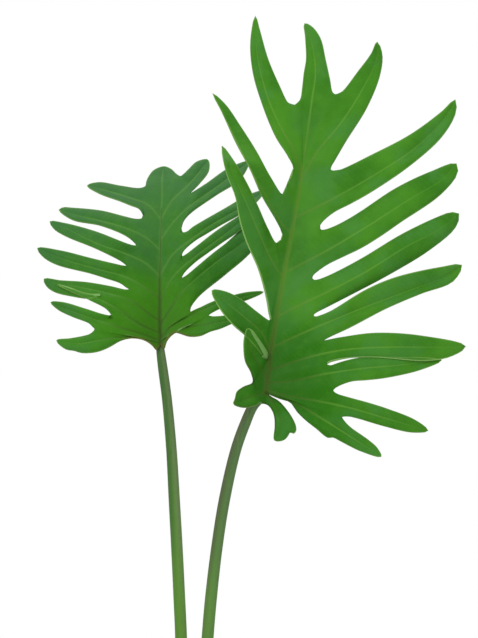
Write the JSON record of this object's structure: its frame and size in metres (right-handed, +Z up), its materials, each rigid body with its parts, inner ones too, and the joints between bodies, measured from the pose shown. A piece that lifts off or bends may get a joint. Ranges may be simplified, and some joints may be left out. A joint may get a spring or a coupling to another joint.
{
  "type": "potted winterbourn philodendron",
  "caption": "Potted philodendron with deeply lobed leathery leaves on long upright stalks, grown from a short rooted stem in a plain clay pot of potting mix.",
  "frame": {"origin": "middle of the underside of the pot's foot, on the surface that it stands on", "axes": "+Z up; the leaves show their upper sides towards -Y; +X is the side of the taller leaf"},
  "size_m": [0.2573, 0.1893, 0.5612],
  "materials": {
    "clay": "matte",
    "potting_mix": "matte",
    "stem": "matte",
    "stalk": "satin",
    "leaf": "satin",
    "sheath": "satin"
  },
  "bodies": {
    "root": {"pot": "clay", "soil": "potting_mix", "rootstock": "stem", "stalk_low": "stalk", "stalk_tall": "stalk", "blade_low": "leaf", "blade_tall": "leaf", "bud_sheath": "sheath"}
  },
  "joints": []
}
